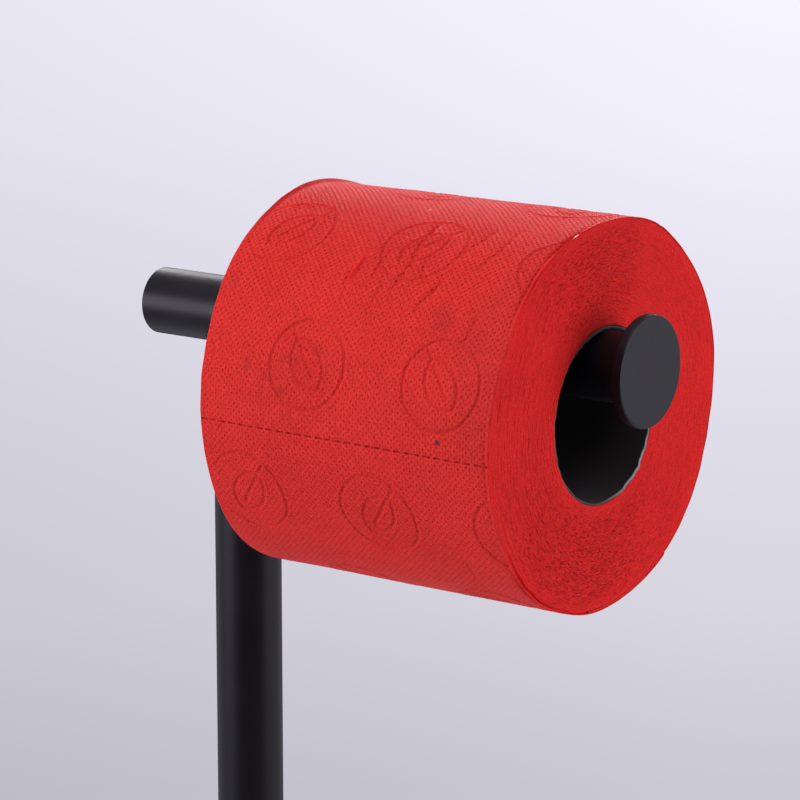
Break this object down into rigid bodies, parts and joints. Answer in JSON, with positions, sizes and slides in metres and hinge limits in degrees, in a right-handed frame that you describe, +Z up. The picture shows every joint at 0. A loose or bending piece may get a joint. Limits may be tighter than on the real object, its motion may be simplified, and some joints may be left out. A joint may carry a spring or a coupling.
{
  "type": "freestanding toilet paper holder",
  "caption": "Freestanding toilet paper holder: weighted round base, upright tube and crossing arm with an end disc, on which a paper roll hangs and spins.",
  "frame": {"origin": "on the floor under the middle of the round base", "axes": "+Z up along the post, +X along the arm towards its end disc, +Y to the arm's left"},
  "size_m": [0.2296, 0.19, 0.6524],
  "materials": {
    "black_paint": "satin",
    "cast_iron": "matte",
    "zinc_steel": "satin",
    "black_rubber": "matte",
    "black_card": "matte",
    "red_paper": "matte"
  },
  "bodies": {
    "stand": {"base_pad": "black_rubber", "base_weight": "cast_iron", "base_cover": "black_paint", "foot_bolt": "zinc_steel", "foot_lock_washer": "zinc_steel", "foot_washer": "zinc_steel", "post_foot_insert": "zinc_steel", "post_lower": "black_paint", "post_lower_socket": "zinc_steel", "coupling_stud": "zinc_steel", "post_upper_socket": "zinc_steel", "post_upper": "black_paint", "tee_weld": "black_paint", "arm_tube": "black_paint", "arm_rear_cap": "black_paint", "arm_front_insert": "zinc_steel", "end_disc": "black_paint"},
    "roll": {"roll_core": "black_card", "paper_winding": "red_paper", "outer_sheet": "red_paper"}
  },
  "joints": [
    {"name": "roll_spin", "type": "hinge", "parent": "stand", "child": "roll", "pos_m": [0.0736, 0, 0.59675], "axis": [1, 0, 0], "continuous": true}
  ]
}
